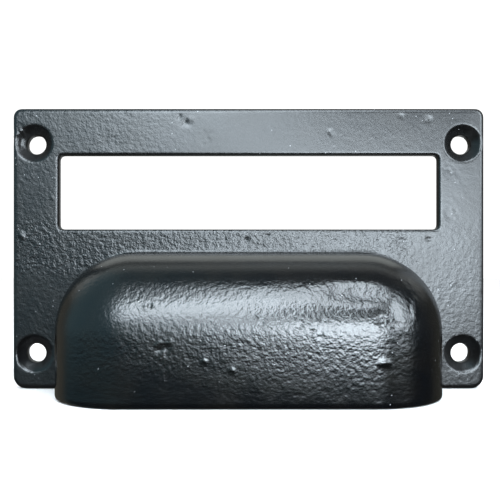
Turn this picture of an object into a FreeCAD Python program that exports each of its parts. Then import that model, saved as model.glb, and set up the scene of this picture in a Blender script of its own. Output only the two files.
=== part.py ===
import FreeCAD, Part
import os
import Sketcher

# Label frame pull: one iron casting with a card window above a finger cup.
# X runs to the right, Z up, and the front faces -Y. The back lies on Y = 0 and the
# origin is the middle of the four screw holes.

driving_sizes = [
    ("plate_width", 110, "left edge to right edge"),
    ("plate_thickness", 4, "back to front face"),
    ("upper_corner_radius", 2, "upper corners of the plate"),
    ("lower_corner_radius", 3, "lower corners of the plate"),
    ("front_edge_radius", 0.8, "rounding along the front of the plate and the outer lip"),
    ("window_height", 17.2, "card window at the back, where it is narrowest"),
    ("window_top_border", 11, "upper edge of the plate to the window"),
    ("window_side_border", 10.7, "side edge of the plate to the window"),
    ("window_corner_radius", 0.9, "corners of the window"),
    ("window_draft", 1, "degrees by which the window widens towards the front"),
    ("window_edge_radius", 0.3, "rounding along the front edge of the window"),
    ("card_margin", 1.5, "how far the card seat reaches beyond the window"),
    ("card_depth", 1.5, "depth of the card seat in the back"),
    ("bar_height", 5.8, "window to the crown of the cup"),
    ("cup_height", 31.5, "crown of the cup to its mouth, at the plate's lower edge"),
    ("cup_projection", 25, "front face of the plate to the front of the cup"),
    ("cup_wall", 3, "thickness of the cup's shell"),
    ("cup_radius", 17, "rounding of the cup's upper corners and of its front"),
    ("cup_root_radius", 0.5, "fillet where the cup meets the plate"),
    ("lip_inner_chamfer", 0.8, "breaks the inner edge of the mouth"),
    ("hole_end_margin", 8.2, "screw holes to the upper and lower edges of the plate"),
    ("screw_hole_diameter", 4.5, "clearance for the screw's shank"),
    ("countersink_diameter", 8.6, "rim of the countersink"),
    ("countersink_angle", 90, "degrees, whole angle of the countersink"),
    ("countersink_land", 0.7, "between a countersink and the side edge of the plate"),
    ("cup_land", 2.7, "between a countersink and the root of the cup"),
]
tolerance = 0.001

# Sizes that follow from the sheet, as expressions
plate_height = "(Sizes.cup_height + Sizes.bar_height + Sizes.window_height + Sizes.window_top_border)"
half_height = plate_height + " / 2"
hole_side_margin = "(Sizes.countersink_diameter / 2 + Sizes.countersink_land)"
cup_side = hole_side_margin + " + Sizes.countersink_diameter / 2 + Sizes.cup_land + Sizes.cup_root_radius"
cup_width = "(Sizes.plate_width - 2 * (%s))" % cup_side
cup_depth = "(Sizes.plate_thickness + Sizes.cup_projection)"
window_width = "(Sizes.plate_width - 2 * Sizes.window_side_border)"
# The cup's rounding leaves room for the root fillet and for the lip
cup_radius = ("min(Sizes.cup_radius; Sizes.cup_projection - 2 * Sizes.cup_root_radius; "
              "Sizes.cup_height - 2 * Sizes.front_edge_radius)")

doc = FreeCAD.newDocument("label_frame_pull")
sheet = doc.addObject("Spreadsheet::Sheet", "Sizes")
for row, (alias, value, note) in enumerate(driving_sizes, start=1):
    sheet.set("A%d" % row, alias)
    sheet.set("B%d" % row, str(value))
    sheet.set("C%d" % row, note)
    sheet.setAlias("B%d" % row, alias)
doc.recompute()


def check(feature):
    doc.recompute()
    if "Invalid" in feature.State or "Error" in feature.State:
        raise RuntimeError("%s failed: %s" % (feature.Label, feature.State))
    if feature.Shape.isNull() or not feature.Shape.isValid():
        raise RuntimeError("%s has no valid shape" % feature.Label)


def check_removes(feature, volume_before):
    check(feature)
    if feature.Shape.Volume > volume_before - tolerance:
        raise RuntimeError("%s removes nothing" % feature.Label)


def front_plane(body):
    return [item for item in body.Origin.OriginFeatures if item.Role == "XZ_Plane"][0]


def front_sketch(body, name):
    # On the back face, with x along X and y along Z
    sketch = body.newObject("Sketcher::SketchObject", name)
    sketch.AttachmentSupport = [(front_plane(body), "")]
    sketch.MapMode = "FlatFace"
    sketch.Visibility = False
    return sketch


def dimension(sketch, name, constraint, expression):
    index = sketch.addConstraint(constraint)
    sketch.renameConstraint(index, name)
    sketch.setExpression("Constraints." + name, expression)


def rectangle(sketch, width, height, edge, from_middle):
    # Centred left to right. Its "upper" edge lies above the middle of the plate, or its
    # "lower" edge below it, by the last expression. Returns its box.
    low, high = (1, 2) if edge == "upper" else (-2, -1)
    corners = [FreeCAD.Vector(x, z, 0) for x, z in ((-1, low), (1, low), (1, high), (-1, high))]
    for line in range(4):
        sketch.addGeometry(Part.LineSegment(corners[line], corners[(line + 1) % 4]))
    for line in range(4):
        sketch.addConstraint(Sketcher.Constraint("Coincident", line, 2, (line + 1) % 4, 1))
    for line, direction in ((1, "Vertical"), (2, "Horizontal"), (3, "Vertical")):
        sketch.addConstraint(Sketcher.Constraint(direction, line))
    sketch.addConstraint(Sketcher.Constraint("Symmetric", 0, 1, 0, 2, -2))
    dimension(sketch, "width", Sketcher.Constraint("DistanceX", 0, 1, 0, 2, 2), width)
    dimension(sketch, "height", Sketcher.Constraint("DistanceY", 1, 1, 1, 2, 1), height)
    if edge == "upper":
        anchor = Sketcher.Constraint("DistanceY", -1, 1, 1, 2, high)
    else:
        anchor = Sketcher.Constraint("DistanceY", 1, 1, -1, 1, -low)
    dimension(sketch, "from_middle", anchor, from_middle)
    check(sketch)
    return sketch.Shape.BoundBox


def pad(body, name, sketch, length):
    # Forward from the back face. Returns the depth of its front.
    feature = body.newObject("PartDesign::Pad", name)
    feature.Profile = sketch
    feature.setExpression("Length", length)
    check(feature)
    return -feature.Length.Value


def pocket(body, name, sketch, length):
    # Forward into the back face
    volume_before = body.Tip.Shape.Volume
    feature = body.newObject("PartDesign::Pocket", name)
    feature.Profile = sketch
    feature.Reversed = True
    feature.setExpression("Length", length)
    check_removes(feature, volume_before)


def edge_feature(body, kind, name, wanted):
    # A fillet or chamfer of each edge whose start, middle and end pass the test
    base = body.Tip
    picked = []
    for number, edge in enumerate(base.Shape.Edges, start=1):
        span = edge.LastParameter - edge.FirstParameter
        points = [edge.valueAt(edge.FirstParameter + span * share) for share in (0, 0.5, 1)]
        if wanted(points):
            picked.append("Edge%d" % number)
    feature = body.newObject("PartDesign::" + kind, name)
    feature.Base = (base, picked)
    return feature


def fillet(body, name, radius, wanted):
    feature = edge_feature(body, "Fillet", name, wanted)
    feature.setExpression("Radius", radius)
    check(feature)


def chamfer(body, name, leg, wanted):
    feature = edge_feature(body, "Chamfer", name, wanted)
    feature.setExpression("Size", leg)
    check(feature)


def near(value, target):
    return abs(value - target) < tolerance


def at_depth(points, depth):
    return all(near(point.y, depth) for point in points)


def at_height(points, height):
    return all(near(point.z, height) for point in points)


def at_sides(points, box):
    return all(near(abs(point.x), box.XMax) for point in points)


def inside(points, box, reach=0):
    # Within a sketch's box seen from the front, or at most so far outside it
    reach += tolerance
    return all(abs(point.x) < box.XMax + reach and box.ZMin - reach < point.z < box.ZMax + reach
               for point in points)


def on_shoulder(points, box):
    return at_sides(points, box) and at_height(points, box.ZMax)


def on_front_edge(points, box, front):
    # All but the edge at the mouth
    return at_depth(points, front) and not at_height(points, box.ZMin)


# The sand core that leaves the inside of the cup, open at the back and at the mouth
core = doc.addObject("PartDesign::Body", "CupCore")
core_sketch = front_sketch(core, "CoreSketch")
core_box = rectangle(core_sketch, cup_width + " - 2 * Sizes.cup_wall", "Sizes.cup_height",
                     "lower", half_height + " + Sizes.cup_wall")
core_front = pad(core, "Core", core_sketch, cup_depth + " - Sizes.cup_wall")
fillet(core, "CoreRounding", cup_radius + " - Sizes.cup_wall",
       lambda points: on_shoulder(points, core_box) or on_front_edge(points, core_box, core_front))

# Plate
casting = doc.addObject("PartDesign::Body", "PullCasting")
casting.Label = "pull_casting"
plate_sketch = front_sketch(casting, "PlateSketch")
plate_box = rectangle(plate_sketch, "Sizes.plate_width", plate_height, "upper", half_height)
plate_front = pad(casting, "Plate", plate_sketch, "Sizes.plate_thickness")
fillet(casting, "UpperCorners", "Sizes.upper_corner_radius",
       lambda points: at_sides(points, plate_box) and at_height(points, plate_box.ZMax))
fillet(casting, "LowerCorners", "Sizes.lower_corner_radius",
       lambda points: at_sides(points, plate_box) and at_height(points, plate_box.ZMin))

# Outside of the finger cup, whose mouth is flush with the plate's lower edge
cup_sketch = front_sketch(casting, "CupSketch")
cup_box = rectangle(cup_sketch, cup_width, "Sizes.cup_height", "lower", half_height)
cup_front = pad(casting, "Cup", cup_sketch, cup_depth)
fillet(casting, "CupRounding", cup_radius,
       lambda points: on_shoulder(points, cup_box) or on_front_edge(points, cup_box, cup_front))
fillet(casting, "CupRoot", "Sizes.cup_root_radius",
       lambda points: at_depth(points, plate_front) and inside(points, cup_box)
       and not at_height(points, cup_box.ZMin))
root_reach = casting.Tip.Radius.Value


def on_front_outline(points):
    # The plate's front outline runs on along the cup's outer lip
    if at_depth(points, plate_front):
        return not inside(points, cup_box, root_reach)
    return at_height(points, cup_box.ZMin) and points[1].y < plate_front


fillet(casting, "FrontEdges", "Sizes.front_edge_radius", on_front_outline)

# Inside of the cup
cavity = casting.newObject("PartDesign::Boolean", "Cavity")
cavity.addObject(core)
cavity.Type = "Cut"
check(cavity)
chamfer(casting, "InnerLip", "Sizes.lip_inner_chamfer",
        lambda points: at_height(points, cup_box.ZMin) and inside(points, core_box)
        and core_front - tolerance < points[1].y < -tolerance)

# Card window with draft
window_sketch = front_sketch(casting, "WindowSketch")
window_box = rectangle(window_sketch, window_width, "Sizes.window_height", "upper",
                       half_height + " - Sizes.window_top_border")
pocket(casting, "Window", window_sketch, "Sizes.plate_thickness")
fillet(casting, "WindowCorners", "Sizes.window_corner_radius",
       lambda points: inside(points, window_box) and near(points[1].y, plate_front / 2))
straight = casting.Tip
walls = []
for number, face in enumerate(straight.Shape.Faces, start=1):
    middle = face.CenterOfMass
    if near(middle.y, plate_front / 2) and inside([middle], window_box):
        walls.append("Face%d" % number)
draft = casting.newObject("PartDesign::Draft", "WindowDraft")
draft.Base = (straight, walls)
draft.NeutralPlane = (front_plane(casting), [""])
draft.setExpression("Angle", "Sizes.window_draft")
check_removes(draft, straight.Shape.Volume)
fillet(casting, "WindowEdge", "Sizes.window_edge_radius",
       lambda points: at_depth(points, plate_front) and inside(points, window_box, -plate_front / 2))

# Seat for the card in the back
seat_sketch = front_sketch(casting, "CardSeatSketch")
rectangle(seat_sketch, window_width + " + 2 * Sizes.card_margin",
          "Sizes.window_height + 2 * Sizes.card_margin", "upper",
          half_height + " - Sizes.window_top_border + Sizes.card_margin")
pocket(casting, "CardSeat", seat_sketch, "Sizes.card_depth")

# Countersunk screw holes, drilled from the front face
hole_sketch = front_sketch(casting, "HoleSketch")
hole_sketch.setExpression("AttachmentOffset.Base.z", "Sizes.plate_thickness")
for x, z in ((-1, -1), (1, -1), (1, 1), (-1, 1)):
    hole_sketch.addGeometry(Part.Circle(FreeCAD.Vector(x, z, 0), FreeCAD.Vector(0, 0, 1), 1))
for hole, direction in enumerate(("Horizontal", "Vertical", "Horizontal", "Vertical")):
    hole_sketch.addConstraint(Sketcher.Constraint(direction, hole, 3, (hole + 1) % 4, 3))
for other in (1, 2, 3):
    hole_sketch.addConstraint(Sketcher.Constraint("Equal", 0, other))
hole_sketch.addConstraint(Sketcher.Constraint("Symmetric", 0, 3, 2, 3, -1, 1))
dimension(hole_sketch, "diameter", Sketcher.Constraint("Diameter", 0, 2), "Sizes.screw_hole_diameter")
dimension(hole_sketch, "spacing_x", Sketcher.Constraint("DistanceX", 0, 3, 1, 3, 2),
          "Sizes.plate_width - 2 * " + hole_side_margin)
dimension(hole_sketch, "spacing_z", Sketcher.Constraint("DistanceY", 1, 3, 2, 3, 2),
          plate_height + " - 2 * Sizes.hole_end_margin")
check(hole_sketch)
volume_before = casting.Tip.Shape.Volume
holes = casting.newObject("PartDesign::Hole", "ScrewHoles")
holes.Profile = hole_sketch
holes.DepthType = "ThroughAll"
holes.HoleCutType = "Countersink"
holes.HoleCutCustomValues = True
holes.setExpression("Diameter", "Sizes.screw_hole_diameter")
holes.setExpression("HoleCutDiameter", "Sizes.countersink_diameter")
holes.setExpression("HoleCutCountersinkAngle", "Sizes.countersink_angle")
check_removes(holes, volume_before)

# The whole document is sound and the casting is one solid
for item in doc.Objects:
    if "Invalid" in item.State or "Error" in item.State:
        raise RuntimeError("%s failed: %s" % (item.Label, item.State))
if casting.Shape.isNull() or not casting.Shape.isValid() or len(casting.Shape.Solids) != 1:
    raise RuntimeError("the casting isn't one valid solid")

os.makedirs("parts", exist_ok=True)
casting.Shape.exportStep("parts/%s.step" % casting.Label)
print("%s: %.0f mm3" % (casting.Label, casting.Shape.Volume))
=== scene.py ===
import bpy
import bmesh
import math
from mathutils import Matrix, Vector


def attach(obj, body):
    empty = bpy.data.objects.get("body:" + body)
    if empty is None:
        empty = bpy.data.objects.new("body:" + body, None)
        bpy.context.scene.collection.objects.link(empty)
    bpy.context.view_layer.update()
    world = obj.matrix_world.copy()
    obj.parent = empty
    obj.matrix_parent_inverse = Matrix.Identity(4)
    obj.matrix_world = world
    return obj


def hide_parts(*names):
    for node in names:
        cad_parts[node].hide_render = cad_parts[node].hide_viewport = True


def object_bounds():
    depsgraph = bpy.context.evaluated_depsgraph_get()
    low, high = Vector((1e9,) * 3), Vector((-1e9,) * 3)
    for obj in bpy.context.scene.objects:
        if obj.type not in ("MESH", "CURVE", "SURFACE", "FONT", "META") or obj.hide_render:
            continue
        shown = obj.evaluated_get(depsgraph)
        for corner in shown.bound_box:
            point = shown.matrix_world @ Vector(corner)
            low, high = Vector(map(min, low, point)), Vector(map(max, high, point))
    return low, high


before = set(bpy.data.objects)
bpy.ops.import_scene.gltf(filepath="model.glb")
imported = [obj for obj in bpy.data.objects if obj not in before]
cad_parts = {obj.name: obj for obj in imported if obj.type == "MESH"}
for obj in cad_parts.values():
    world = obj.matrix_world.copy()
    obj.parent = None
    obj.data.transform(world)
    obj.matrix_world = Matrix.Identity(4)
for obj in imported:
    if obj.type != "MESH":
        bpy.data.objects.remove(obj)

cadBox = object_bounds()
mm = 0.001


def deselectAll():
    if bpy.context.mode != "OBJECT":
        bpy.ops.object.mode_set(mode="OBJECT")
    bpy.ops.object.select_all(action="DESELECT")


def makeActive(piece):
    deselectAll()
    piece.select_set(True)
    bpy.context.view_layer.objects.active = piece


def applyModifier(piece, kind, **settings):
    makeActive(piece)
    modifier = piece.modifiers.new(kind.title(), kind)
    for name, value in settings.items():
        setattr(modifier, name, value)
    bpy.ops.object.modifier_apply(modifier=modifier.name)


def ramp(value, low, high):
    share = min(max((value - low) / (high - low), 0.0), 1.0)
    return share * share * (3 - 2 * share)


def paintWeights(piece, name, weigh):
    group = piece.vertex_groups.new(name=name)
    for vertex in piece.data.vertices:
        weight = weigh(vertex.co / mm, vertex.normal)
        if weight > 0.01:
            group.add([vertex.index], min(weight, 1.0), "REPLACE")
    return group.name


# an even skin over a copy of the CAD node
skin = {
    "merge": 0.002,           # mm, doubles closer than this are joined
    "voxel": 0.40,            # mm
    "factor": 0.5,            # strength of each smoothing pass
    "passes": 2,              # smoothing away from the screw holes
    "holeClear": (2.6, 3.4),  # mm from a hole's axis, where that smoothing sets in
    "domePasses": 70,         # smoothing on the round of the cup only
    "domeFront": -5.5,        # mm, the round starts this far forward
    "lip": -32.75,            # mm, height of the lip
    "lipClear": 2.5,          # mm above the lip where the smoothing is full
    "blend": 1.5,             # mm over which it sets in
}
# screw holes, in mm from the origin in the middle of the four
screwHole = {
    "x": 50.0,
    "z": 24.55,
    "radius": 2.25,
    "land": 0.75,             # straight wall in front of the back face
    "reach": 0.25,            # walls this near the true circle are pulled to it
}


# distance in mm from the axis of the nearest screw hole
def fromHole(place):
    return math.hypot(abs(place.x) - screwHole["x"], abs(place.z) - screwHole["z"])


def softWeight(place, normal):
    return ramp(fromHole(place), *skin["holeClear"])


def domeWeight(place, normal):
    forward = ramp(skin["domeFront"] - place.y, 0.0, skin["blend"])
    return forward * ramp(place.z - skin["lip"], skin["lipClear"] - skin["blend"], skin["lipClear"])


def buildSkin():
    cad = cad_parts["pull_casting"]
    casting = cad.copy()
    casting.data = cad.data.copy()
    casting.name = "castPull"
    casting.parent = None
    bpy.context.scene.collection.objects.link(casting)
    makeActive(casting)
    bpy.ops.object.mode_set(mode="EDIT")
    bpy.ops.mesh.select_all(action="SELECT")
    bpy.ops.mesh.remove_doubles(threshold=skin["merge"] * mm)
    bpy.ops.object.mode_set(mode="OBJECT")
    applyModifier(casting, "REMESH", mode="VOXEL", voxel_size=skin["voxel"] * mm)
    soft = paintWeights(casting, "soft", softWeight)
    applyModifier(casting, "SMOOTH", factor=skin["factor"], iterations=skin["passes"], vertex_group=soft)
    dome = paintWeights(casting, "dome", domeWeight)
    applyModifier(casting, "SMOOTH", factor=skin["factor"], iterations=skin["domePasses"],
                  vertex_group=dome)
    print("skin:", len(casting.data.vertices), "vertices")
    return casting


# the skin is coarse for the drilled holes, so their walls are pulled to a true circle
def trueHoles(piece):
    for vertex in piece.data.vertices:
        place = vertex.co / mm
        away = fromHole(place)
        if place.y > -screwHole["land"] and abs(away - screwHole["radius"]) < screwHole["reach"]:
            middle = Vector((math.copysign(screwHole["x"], place.x), place.y,
                             math.copysign(screwHole["z"], place.z)))
            vertex.co = (middle + (place - middle) * screwHole["radius"] / away) * mm


casting = buildSkin()
trueHoles(casting)

# marks of the casting, in mm as seen from the front: half length, half height and turn
# of the pressed core, its depth (below zero stands out) and the width of the soft edge
castMarks = [
    {"x": 19.5, "z": -9.7, "long": 5.0, "high": 0.3, "turn": -4, "depth": 0.1, "soft": 3.2},
    {"x": 22.5, "z": -9.8, "long": 4.5, "high": 0.3, "turn": -4, "depth": 0.2, "soft": 3.2},
    {"x": 24.0, "z": -9.9, "long": 2.8, "high": 0.3, "turn": -4, "depth": 0.1, "soft": 2.8},
    {"x": 34.0, "z": -12.6, "long": 2.0, "high": 0.25, "turn": 84, "depth": -0.14, "soft": 1.2},
    {"x": 10.4, "z": -16.2, "long": 0.5, "high": 0.2, "turn": -35, "depth": 0.1, "soft": 0.6},
    {"x": 12.6, "z": -17.0, "long": 0.6, "high": 0.2, "turn": -20, "depth": 0.1, "soft": 0.6},
    {"x": 14.4, "z": -18.2, "long": 0.5, "high": 0.2, "turn": -25, "depth": 0.1, "soft": 0.6},
    {"x": 27.1, "z": -23.5, "long": 0.8, "high": 0.25, "turn": 5, "depth": -0.2, "soft": 1.0},
    {"x": -17.6, "z": -20.6, "long": 0.4, "high": 0.2, "turn": 0, "depth": 0.14, "soft": 0.6},
    {"x": -17.9, "z": -19.6, "long": 0.8, "high": 0.2, "turn": 30, "depth": -0.14, "soft": 0.6},
    {"x": -16.0, "z": -19.4, "long": 0.8, "high": 0.2, "turn": 30, "depth": -0.12, "soft": 0.6},
    {"x": -17.2, "z": -21.3, "long": 0.7, "high": 0.2, "turn": 60, "depth": -0.12, "soft": 0.6},
    {"x": -19.9, "z": -12.1, "long": 0.3, "high": 0.25, "turn": 0, "depth": 0.2, "soft": 0.7},
    {"x": -20.6, "z": -12.4, "long": 0.3, "high": 0.2, "turn": 0, "depth": -0.12, "soft": 0.7},
    {"x": 2.1, "z": -14.4, "long": 0.25, "high": 0.2, "turn": 0, "depth": 0.16, "soft": 0.6},
    {"x": 2.5, "z": -15.7, "long": 0.25, "high": 0.2, "turn": 0, "depth": 0.13, "soft": 0.6},
    {"x": -8.8, "z": -23.1, "long": 0.25, "high": 0.2, "turn": 0, "depth": -0.14, "soft": 0.6},
    {"x": -3.2, "z": -24.9, "long": 0.7, "high": 0.2, "turn": -50, "depth": -0.13, "soft": 0.6},
    {"x": -16.2, "z": 30.9, "long": 0.7, "high": 0.2, "turn": -70, "depth": 0.16, "soft": 0.7},
    {"x": -14.5, "z": 29.2, "long": 0.9, "high": 0.2, "turn": -30, "depth": 0.16, "soft": 0.7},
    {"x": -13.4, "z": 30.2, "long": 0.6, "high": 0.3, "turn": -40, "depth": -0.08, "soft": 0.8},
    {"x": 35.7, "z": 31.0, "long": 0.3, "high": 0.3, "turn": 0, "depth": 0.12, "soft": 0.7},
    {"x": 42.1, "z": 30.2, "long": 0.45, "high": 0.25, "turn": 15, "depth": 0.2, "soft": 0.8},
    {"x": 19.2, "z": 26.9, "long": 0.7, "high": 0.2, "turn": -60, "depth": 0.12, "soft": 0.6},
    {"x": -5.5, "z": 2.3, "long": 0.4, "high": 0.2, "turn": 0, "depth": 0.15, "soft": 0.6},
    {"x": -0.4, "z": 1.9, "long": 0.4, "high": 0.25, "turn": -40, "depth": 0.25, "soft": 0.7},
    {"x": 4.5, "z": 2.9, "long": 0.35, "high": 0.2, "turn": 0, "depth": 0.18, "soft": 0.6},
    {"x": 42.0, "z": 2.3, "long": 0.25, "high": 0.25, "turn": 0, "depth": 0.2, "soft": 0.6},
    {"x": -52.7, "z": 2.9, "long": 0.9, "high": 0.2, "turn": -50, "depth": -0.2, "soft": 0.7},
    {"x": -45.9, "z": 11.7, "long": 0.3, "high": 0.2, "turn": 0, "depth": -0.12, "soft": 0.6},
]
markFacing = -0.2   # only skin whose normal points this far forward


def pressMarks():
    makeActive(casting)
    bpy.ops.object.mode_set(mode="EDIT")
    bpy.ops.mesh.select_mode(type="VERT")
    front = [v for v in bmesh.from_edit_mesh(casting.data).verts if v.normal.y < markFacing]
    for mark in castMarks:
        bpy.ops.mesh.select_all(action="DESELECT")
        turn = math.radians(mark["turn"])
        outward = Vector()
        for vertex in front:
            right = vertex.co.x / mm - mark["x"]
            up = vertex.co.z / mm - mark["z"]
            along = (right * math.cos(turn) + up * math.sin(turn)) / mark["long"]
            across = (up * math.cos(turn) - right * math.sin(turn)) / mark["high"]
            if along * along + across * across < 1:
                vertex.select = True
                outward += vertex.normal
        push = outward.normalized() * -mark["depth"] * mm
        bpy.ops.transform.translate(value=push, use_proportional_edit=True,
                                    proportional_edit_falloff="SMOOTH",
                                    proportional_size=mark["soft"] * mm)
    bpy.ops.object.mode_set(mode="OBJECT")
    print("marks:", len(castMarks))


pressMarks()

# waves, lumps and grain left by the sand: size and height in mm
sandWaves = [
    {"name": "broadWave", "size": 9.0, "height": 0.045, "depth": 1, "hard": False},
    {"name": "lumps", "size": 2.6, "height": 0.014, "depth": 2, "hard": False},
    {"name": "grain", "size": 1.0, "height": 0.012, "depth": 1, "hard": False},
]
# full on the faces that look forward, less on the crown and the sides, none on the back
sandCover = {"least": 0.15, "forward": (0.55, 0.9), "back": (-0.9, -0.6)}
brokenSand = {"name": "brokenSand", "size": 0.9, "height": 0.65, "depth": 1, "hard": True}
brokenCover = {"facing": -0.15, "core": 0.3, "holeClear": (2.6, 3.3)}
# patches where the sand broke away, in mm as seen from the front
brokenPatches = [
    {"x": 27.9, "z": -15.2, "wide": 3.6, "high": 1.9, "weight": 0.8},
    {"x": 31.5, "z": -18.5, "wide": 2.0, "high": 2.2, "weight": 0.4},
    {"x": -17.2, "z": -20.4, "wide": 2.4, "high": 2.0, "weight": 0.5},
    {"x": -53.4, "z": 26.4, "wide": 2.2, "high": 3.6, "weight": 0.9},
    {"x": -14.6, "z": 29.6, "wide": 2.4, "high": 2.2, "weight": 0.3},
    {"x": -31.0, "z": 25.0, "wide": 4.5, "high": 3.0, "weight": 0.25},
    {"x": -10.0, "z": 26.0, "wide": 2.0, "high": 3.0, "weight": 0.25},
    {"x": 6.0, "z": 0.6, "wide": 9.0, "high": 1.8, "weight": 0.3},
    {"x": 35.8, "z": 1.2, "wide": 2.2, "high": 1.6, "weight": 0.45},
    {"x": 47.0, "z": 8.0, "wide": 2.5, "high": 2.5, "weight": 0.25},
    {"x": 46.7, "z": 18.6, "wide": 3.0, "high": 3.0, "weight": 0.14},
    {"x": 46.5, "z": -11.0, "wide": 6.0, "high": 9.0, "weight": 0.12},
]


def sandWeight(place, normal):
    forward = ramp(-normal.y, *sandCover["forward"])
    cover = sandCover["least"] + (1 - sandCover["least"]) * forward
    return cover * ramp(-normal.y, *sandCover["back"])


def brokenWeight(place, normal):
    if normal.y > brokenCover["facing"]:
        return 0.0
    weight = 0.0
    for patch in brokenPatches:
        right = (place.x - patch["x"]) / patch["wide"]
        up = (place.z - patch["z"]) / patch["high"]
        inside = ramp(-math.hypot(right, up), -1.0, -brokenCover["core"])
        weight = max(weight, patch["weight"] * inside)
    return weight * ramp(fromHole(place), *brokenCover["holeClear"])


def shakeSand(wave, group):
    texture = bpy.data.textures.new(wave["name"], "CLOUDS")
    texture.noise_scale = wave["size"] * mm
    texture.noise_depth = wave["depth"]
    texture.noise_type = "HARD_NOISE" if wave["hard"] else "SOFT_NOISE"
    applyModifier(casting, "DISPLACE", texture=texture, texture_coords="LOCAL",
                  strength=wave["height"] * mm, mid_level=0.5, vertex_group=group)


sand = paintWeights(casting, "sand", sandWeight)
for wave in sandWaves:
    shakeSand(wave, sand)
shakeSand(brokenSand, paintWeights(casting, "broken", brokenWeight))
print("sand waves:", len(sandWaves), "patches:", len(brokenPatches))

# fewer faces on the back and inside the cup, where the skin is plain
thinned = {
    "share": 0.75,            # share of the faces that stays
    "cupDepth": (4.0, 6.0),   # mm in front of the back, inside the cup
    "inward": (0.05, 0.3),    # normals inside the cup
    "flat": (0.97, 0.995),    # normals of the back
    "holeClear": (3.5, 4.5),  # mm from a hole's axis
}


def backWeight(place, normal):
    inside = ramp(-place.y, *thinned["cupDepth"]) * ramp(normal.y, *thinned["inward"])
    back = ramp(normal.y, *thinned["flat"])
    return max(back, inside) * ramp(fromHole(place), *thinned["holeClear"])


applyModifier(casting, "DECIMATE", decimate_type="COLLAPSE", ratio=thinned["share"],
              vertex_group=paintWeights(casting, "back", backWeight))
casting.vertex_groups.clear()
makeActive(casting)
bpy.ops.object.shade_smooth()
print("casting:", len(casting.data.polygons), "faces")


# how strongly the fine grain shows: on the cup less what its smoother parts take off,
# on the plate more where it is rough
grainShare = {
    "cup": 0.65,
    "crown": 0.55,
    "side": 0.47,
    "low": 0.4,
    "plate": 0.17,
    "bar": 0.9,
    "barEnd": 0.7,            # taken off the bar at its right end
    "left": 0.4,
    "besideCup": 0.3,
    "most": 1.2,
}
# where each of them sets in and is full, in mm or as a share of the normal
grainZone = {
    "cup": (5.0, 7.0),
    "crown": (0.62, 0.8),
    "side": (0.4, 0.85),
    "low": (19.0, 29.0),
    "barMiddle": 0.5,
    "bar": (-8.0, -3.0),
    "right": (34.0, 42.0),
    "left": (5.0, 35.0),
    "besideCup": (2.0, 9.0),
    "front": (0.2, 0.7),
}


def grainStrength(place, normal):
    cupFront = ramp(-place.y, *grainZone["cup"])
    crown = ramp(normal.z, *grainZone["crown"])
    side = ramp(abs(normal.x), *grainZone["side"])
    low = ramp(-place.z, *grainZone["low"])
    onCup = grainShare["cup"] - max(grainShare["crown"] * crown, grainShare["side"] * side,
                                    grainShare["low"] * low)
    farRight = ramp(place.x, *grainZone["right"])
    bar = ramp(-abs(place.z - grainZone["barMiddle"]), *grainZone["bar"])
    bar *= 1 - grainShare["barEnd"] * farRight
    besideCup = ramp(-place.z, *grainZone["besideCup"]) * farRight
    left = ramp(-place.x, *grainZone["left"])
    front = ramp(-normal.y, *grainZone["front"])
    rough = grainShare["bar"] * bar + grainShare["left"] * left + grainShare["besideCup"] * besideCup
    onPlate = grainShare["plate"] + rough * front
    return min(cupFront * onCup + (1 - cupFront) * onPlate, grainShare["most"])


# painted shade: a dull line where the cup meets the plate, its reflection cut down to stand in for the
# shade in the corner; in mm
cupRoot = {
    "halfWidth": 42.5,
    "top": -1.25,
    "radius": 17.0,
    "face": -3.5,             # nothing behind this
    "inset": 0.2,             # middle of the line inside the cup's outline
    "core": 0.3,              # half width of its darkest part
    "edge": 0.65,             # half width to its end
    "fade": (-12.0, -8.0),    # it fades out along the cup
}


# share of painted shade on the cup's root line, darkest on its core
def rootShadeLine(place, normal):
    if place.y > cupRoot["face"]:
        return 0.0
    right = abs(place.x) - (cupRoot["halfWidth"] - cupRoot["radius"])
    up = place.z - (cupRoot["top"] - cupRoot["radius"])
    away = math.hypot(max(right, 0), max(up, 0)) - cupRoot["radius"]
    line = ramp(-abs(away + cupRoot["inset"]), -cupRoot["edge"], -cupRoot["core"])
    return line * ramp(place.y, *cupRoot["fade"])


# hands rub the cup smooth, most of all near the lip; in mm
handRub = {"forward": (5.0, 8.0), "towardsLip": (15.0, 28.0), "more": 0.9}


def handWear(place, normal):
    lip = ramp(-place.z, *handRub["towardsLip"])
    return ramp(-place.y, *handRub["forward"]) * (1 + handRub["more"] * lip)


# all three are kept on the vertices for the enamel
for name, measure in (("rubbed", handWear), ("paintedShadeLine", rootShadeLine), ("grain", grainStrength)):
    layer = casting.data.attributes.new(name, "FLOAT", "POINT")
    layer.data.foreach_set("value", [measure(v.co / mm, v.normal) for v in casting.data.vertices])


# small helpers for the nodes: each returns the output of a new node
def readLayer(nodes, name):
    layer = nodes.new("ShaderNodeAttribute")
    layer.attribute_name = name
    return layer.outputs["Fac"]


def noiseNode(nodes, links, place, scale, detail):
    noise = nodes.new("ShaderNodeTexNoise")
    noise.inputs["Scale"].default_value = scale
    noise.inputs["Detail"].default_value = detail
    links.new(place, noise.inputs["Vector"])
    return noise.outputs["Fac"]


def rangeNode(nodes, links, value, fromRange=(0, 1), toRange=(0, 1), soft=False):
    mapping = nodes.new("ShaderNodeMapRange")
    mapping.interpolation_type = "SMOOTHSTEP" if soft else "LINEAR"
    mapping.inputs["From Min"].default_value, mapping.inputs["From Max"].default_value = fromRange
    mapping.inputs["To Min"].default_value, mapping.inputs["To Max"].default_value = toRange
    links.new(value, mapping.inputs["Value"])
    return mapping.outputs["Result"]


def mathNode(nodes, links, operation, *values):
    node = nodes.new("ShaderNodeMath")
    node.operation = operation
    for socket, value in zip(node.inputs, values):
        if isinstance(value, float):
            socket.default_value = value
        else:
            links.new(value, socket)
    return node.outputs[0]


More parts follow.
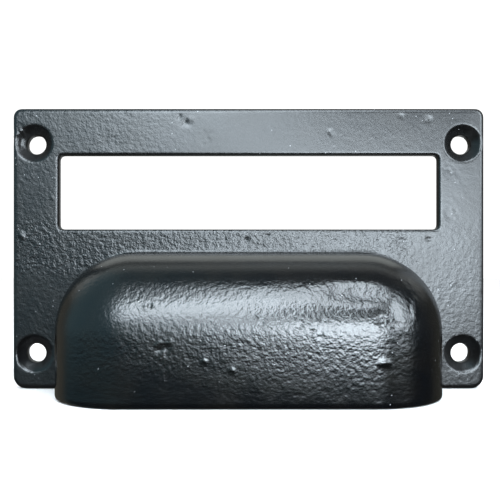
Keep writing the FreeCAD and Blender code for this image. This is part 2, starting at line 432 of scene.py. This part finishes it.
def colourRamp(nodes, links, value, stops):
    node = nodes.new("ShaderNodeValToRGB")
    elements = node.color_ramp.elements
    elements.remove(elements[1])
    elements[0].position, elements[0].color = stops[0]
    for spot, colour in stops[1:]:
        elements.new(spot).color = colour
    links.new(value, node.inputs["Fac"])
    return node.outputs["Color"]


def mixColours(nodes, links, share, *colours):
    node = nodes.new("ShaderNodeMix")
    node.data_type = "RGBA"
    links.new(share, node.inputs["Factor"])
    for name, colour in zip("AB", colours):
        if isinstance(colour, tuple):
            node.inputs[name].default_value = colour
        else:
            links.new(colour, node.inputs[name])
    return node.outputs["Result"]


enamel = {
    "ior": 1.8,
    "peelScale": 2700,           # fine orange peel
    "peelDetail": 1.5,
    "peelShare": 0.35,           # height of the peel beside the lumps
    "lumpScale": 1150,
    "lumpDetail": 1,
    "bump": 0.13,                # mm
    "patchScale": 160,           # patches of gloss and tint
    "patchDetail": 3,
    "roughness": (0.26, 0.38),
    "rubbed": -0.08,             # added to the roughness where hands rub it
    "dull": 0.4,                 # and along the painted shade line at the root
    "specular": (0.5, 0.05),     # outside the painted shade line and in it, where the low level paints the shade of the root
    "tints": [                   # near black, a little browner in places
        (0.35, (0.0016, 0.0021, 0.0027, 1)),
        (0.7, (0.0030, 0.0028, 0.0025, 1)),
    ],
    "dustScale": 400,            # a few pale specks
    "dustEdge": (0.055, 0.03),   # outer and inner edge of a speck
    "dust": (0.24, 0.25, 0.26, 1),
}


def blackEnamel():
    mat = bpy.data.materials.new("blackEnamel")
    mat.use_nodes = True
    nodes = mat.node_tree.nodes
    links = mat.node_tree.links
    shader = nodes["Principled BSDF"]
    shader.inputs["IOR"].default_value = enamel["ior"]
    place = nodes.new("ShaderNodeTexCoord").outputs["Object"]

    # fine orange peel over small lumps
    peel = noiseNode(nodes, links, place, enamel["peelScale"], enamel["peelDetail"])
    lump = noiseNode(nodes, links, place, enamel["lumpScale"], enamel["lumpDetail"])
    bump = nodes.new("ShaderNodeBump")
    bump.inputs["Distance"].default_value = enamel["bump"] * mm
    height = mathNode(nodes, links, "MULTIPLY_ADD", peel, enamel["peelShare"], lump)
    links.new(height, bump.inputs["Height"])
    links.new(readLayer(nodes, "grain"), bump.inputs["Strength"])
    links.new(bump.outputs["Normal"], shader.inputs["Normal"])

    # patchy gloss, smoother where hands rub it, and dull with little reflection along the root as painted
    # shade
    patches = noiseNode(nodes, links, place, enamel["patchScale"], enamel["patchDetail"])
    gloss = rangeNode(nodes, links, patches, toRange=enamel["roughness"])
    gloss = mathNode(nodes, links, "MULTIPLY_ADD", readLayer(nodes, "rubbed"), enamel["rubbed"], gloss)
    paintedShadeLine = readLayer(nodes, "paintedShadeLine")
    gloss = mathNode(nodes, links, "MULTIPLY_ADD", paintedShadeLine, enamel["dull"], gloss)
    links.new(gloss, shader.inputs["Roughness"])
    # painted shade: the specular level is cut along the root line
    shine = rangeNode(nodes, links, paintedShadeLine, toRange=enamel["specular"])
    links.new(shine, shader.inputs["Specular IOR Level"])

    # tint and dust
    tint = colourRamp(nodes, links, patches, enamel["tints"])
    cells = nodes.new("ShaderNodeTexVoronoi")
    cells.inputs["Scale"].default_value = enamel["dustScale"]
    links.new(place, cells.inputs["Vector"])
    speck = rangeNode(nodes, links, cells.outputs["Distance"], enamel["dustEdge"])
    links.new(mixColours(nodes, links, speck, tint, enamel["dust"]), shader.inputs["Base Color"])
    return mat


casting.data.materials.clear()
casting.data.materials.append(blackEnamel())
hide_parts("pull_casting")
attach(casting, "root")
print("enamel on", casting.name)


# floor, pale and plain, just under the pull
floorPlane = {
    "size": 3.0,      # m
    "below": 0.02,    # mm
    "white": (0.9, 0.9, 0.9, 1),
    "roughness": 0.9,
}
deselectAll()
bpy.ops.mesh.primitive_plane_add(size=floorPlane["size"], location=(0, 0, 0))
floor = bpy.context.object
floor.name = "floor"
for corner in floor.data.vertices:
    corner.co.z = cadBox[0][2] - floorPlane["below"] * mm
floorPaint = bpy.data.materials.new("floorPaint")
floorPaint.use_nodes = True
floorShader = floorPaint.node_tree.nodes["Principled BSDF"]
floorShader.inputs["Base Color"].default_value = floorPlane["white"]
floorShader.inputs["Roughness"].default_value = floorPlane["roughness"]
floor.data.materials.append(floorPaint)
floor.visible_glossy = False    # kept out of the reflections
floor.visible_shadow = False    # lets the light of the low boxes through

# soft boxes, in metres; each fades towards its edges by a share of its width or height,
# named as seen from the camera: left, right, lower and upper edge
softBoxes = [
    {"name": "ceilingBox", "place": (0.07, -0.42, 0.5), "turn": (0, 0, 0), "wide": 0.42, "high": 0.48,
     "glow": 9.0, "fade": (0.45, 0.5, 0.2, 0.22)},
    {"name": "frontBox", "place": (0.07, -0.3, 0.0075), "turn": (90, 0, 0), "wide": 0.34, "high": 0.135,
     "glow": 16.5, "fade": (0.56, 0.54, 0.78, 0.3)},
    {"name": "lowBox", "place": (0.075, -0.305, -0.0225), "turn": (90, 0, 0), "wide": 0.23, "high": 0.105,
     "glow": 7.6, "fade": (0.52, 0.46, 0.48, 0.47)},
    {"name": "upperBox", "place": (-0.065, -0.31, 0.18), "turn": (90, 0, 0), "wide": 0.27, "high": 0.3,
     "glow": 10.0, "fade": (0.6, 0.3, 0.38, 0.3)},
    {"name": "rightBox", "place": (0.278, -0.223, 0.15), "turn": (90, 0, 58), "wide": 0.24, "high": 0.48,
     "glow": 8.6, "fade": (0.12, 0.62, 0.38, 0.25)},
]
lampTint = (0.9, 1.0, 1.08)   # a little cool


def fadeEdges(nodes, links, box):
    place = nodes.new("ShaderNodeNewGeometry")
    parts = nodes.new("ShaderNodeSeparateXYZ")
    links.new(place.outputs["Parametric"], parts.inputs[0])
    left, right, lower, upper = box["fade"]
    level = box["glow"]
    for axis, near, far in (("X", 0, left), ("X", 1, 1 - right), ("Y", 0, lower), ("Y", 1, 1 - upper)):
        edge = rangeNode(nodes, links, parts.outputs[axis], (near, far), soft=True)
        level = mathNode(nodes, links, "MULTIPLY", level, edge)
    links.new(level, nodes["Emission"].inputs["Strength"])


def addBox(box):
    light = bpy.data.lights.new(box["name"], "AREA")
    light.shape = "RECTANGLE"
    light.size = box["wide"]
    light.size_y = box["high"]
    light.energy = math.pi * box["wide"] * box["high"]
    light.color = lampTint
    light.use_nodes = True
    fadeEdges(light.node_tree.nodes, light.node_tree.links, box)
    lamp = bpy.data.objects.new(box["name"], light)
    lamp.location = box["place"]
    lamp.rotation_euler = [math.radians(angle) for angle in box["turn"]]
    lamp.visible_camera = False
    bpy.context.scene.collection.objects.link(lamp)


for box in softBoxes:
    addBox(box)
print("soft boxes:", len(softBoxes))


# world: white around the pull, a dim room in its reflections
studio = {
    "white": 1.15,
    "front": [                      # of the room, from left to right
        (0.3, (0.28, 0.5, 0.58, 1)),
        (0.54, (0.05, 0.06, 0.07, 1)),
    ],
    "back": [                       # warmer, pale behind the window and dim to the sides
        (0.0, (0.24, 0.23, 0.19, 1)),
        (0.38, (0.08, 0.08, 0.07, 1)),
        (0.5, (0.4, 0.43, 0.43, 1)),
        (0.62, (0.6, 0.62, 0.62, 1)),
        (0.75, (0.1, 0.1, 0.09, 1)),
        (1.0, (0.1, 0.1, 0.08, 1)),
    ],
    "behind": (0.1, 0.4),           # where the back sets in
    "wall": (1.0, 1.06, 1.04, 1),   # of the back higher up, even and pale
    "wallHeight": (0.3, 0.6),
    "low": (-0.25, 0.0),            # dark below
    "dim": (0.08, 1),
}


def buildWorld():
    world = bpy.data.worlds.new("studio")
    bpy.context.scene.world = world
    world.use_nodes = True
    nodes = world.node_tree.nodes
    links = world.node_tree.links
    white = nodes["Background"]
    white.inputs["Color"].default_value = (1, 1, 1, 1)
    white.inputs["Strength"].default_value = studio["white"]
    room = nodes.new("ShaderNodeBackground")
    place = nodes.new("ShaderNodeTexCoord")
    parts = nodes.new("ShaderNodeSeparateXYZ")
    links.new(place.outputs["Generated"], parts.inputs[0])
    across = rangeNode(nodes, links, parts.outputs["X"], (-1, 1))
    behind = rangeNode(nodes, links, parts.outputs["Y"], studio["behind"])
    high = rangeNode(nodes, links, parts.outputs["Z"], studio["wallHeight"])
    front = colourRamp(nodes, links, across, studio["front"])
    back = colourRamp(nodes, links, across, studio["back"])
    wall = mixColours(nodes, links, high, back, studio["wall"])
    links.new(mixColours(nodes, links, behind, front, wall), room.inputs["Color"])
    # dark below, but not behind the pull
    level = rangeNode(nodes, links, parts.outputs["Z"], studio["low"], studio["dim"])
    links.new(mathNode(nodes, links, "MAXIMUM", level, behind), room.inputs["Strength"])
    rays = nodes.new("ShaderNodeLightPath")
    mix = nodes.new("ShaderNodeMixShader")
    links.new(rays.outputs["Is Glossy Ray"], mix.inputs[0])
    links.new(white.outputs[0], mix.inputs[1])
    links.new(room.outputs[0], mix.inputs[2])
    links.new(mix.outputs[0], nodes["World Output"].inputs[0])


buildWorld()

# camera, square on to the plate as in the photograph
cameraView = {
    "place": (0.0, -174.0, -3.95),   # mm, 170 in front of the plate's face
    "turn": (90, 0, 0),
    "lens": 52.5,
    "sensor": 36,
    "shift": (0.003, 0.031),
    "nearest": 5.0,                  # mm, clip start
}
camData = bpy.data.cameras.new("photoCamera")
camData.lens = cameraView["lens"]
camData.sensor_width = cameraView["sensor"]
camData.shift_x, camData.shift_y = cameraView["shift"]
camData.clip_start = cameraView["nearest"] * mm
cam = bpy.data.objects.new("photoCamera", camData)
bpy.context.scene.collection.objects.link(cam)
cam.location = Vector(cameraView["place"]) * mm
cam.rotation_euler = [math.radians(angle) for angle in cameraView["turn"]]
bpy.context.scene.camera = cam
bpy.context.scene.view_settings.view_transform = "Standard"
bpy.context.scene.view_settings.gamma = 0.85      # the photograph is printed hard
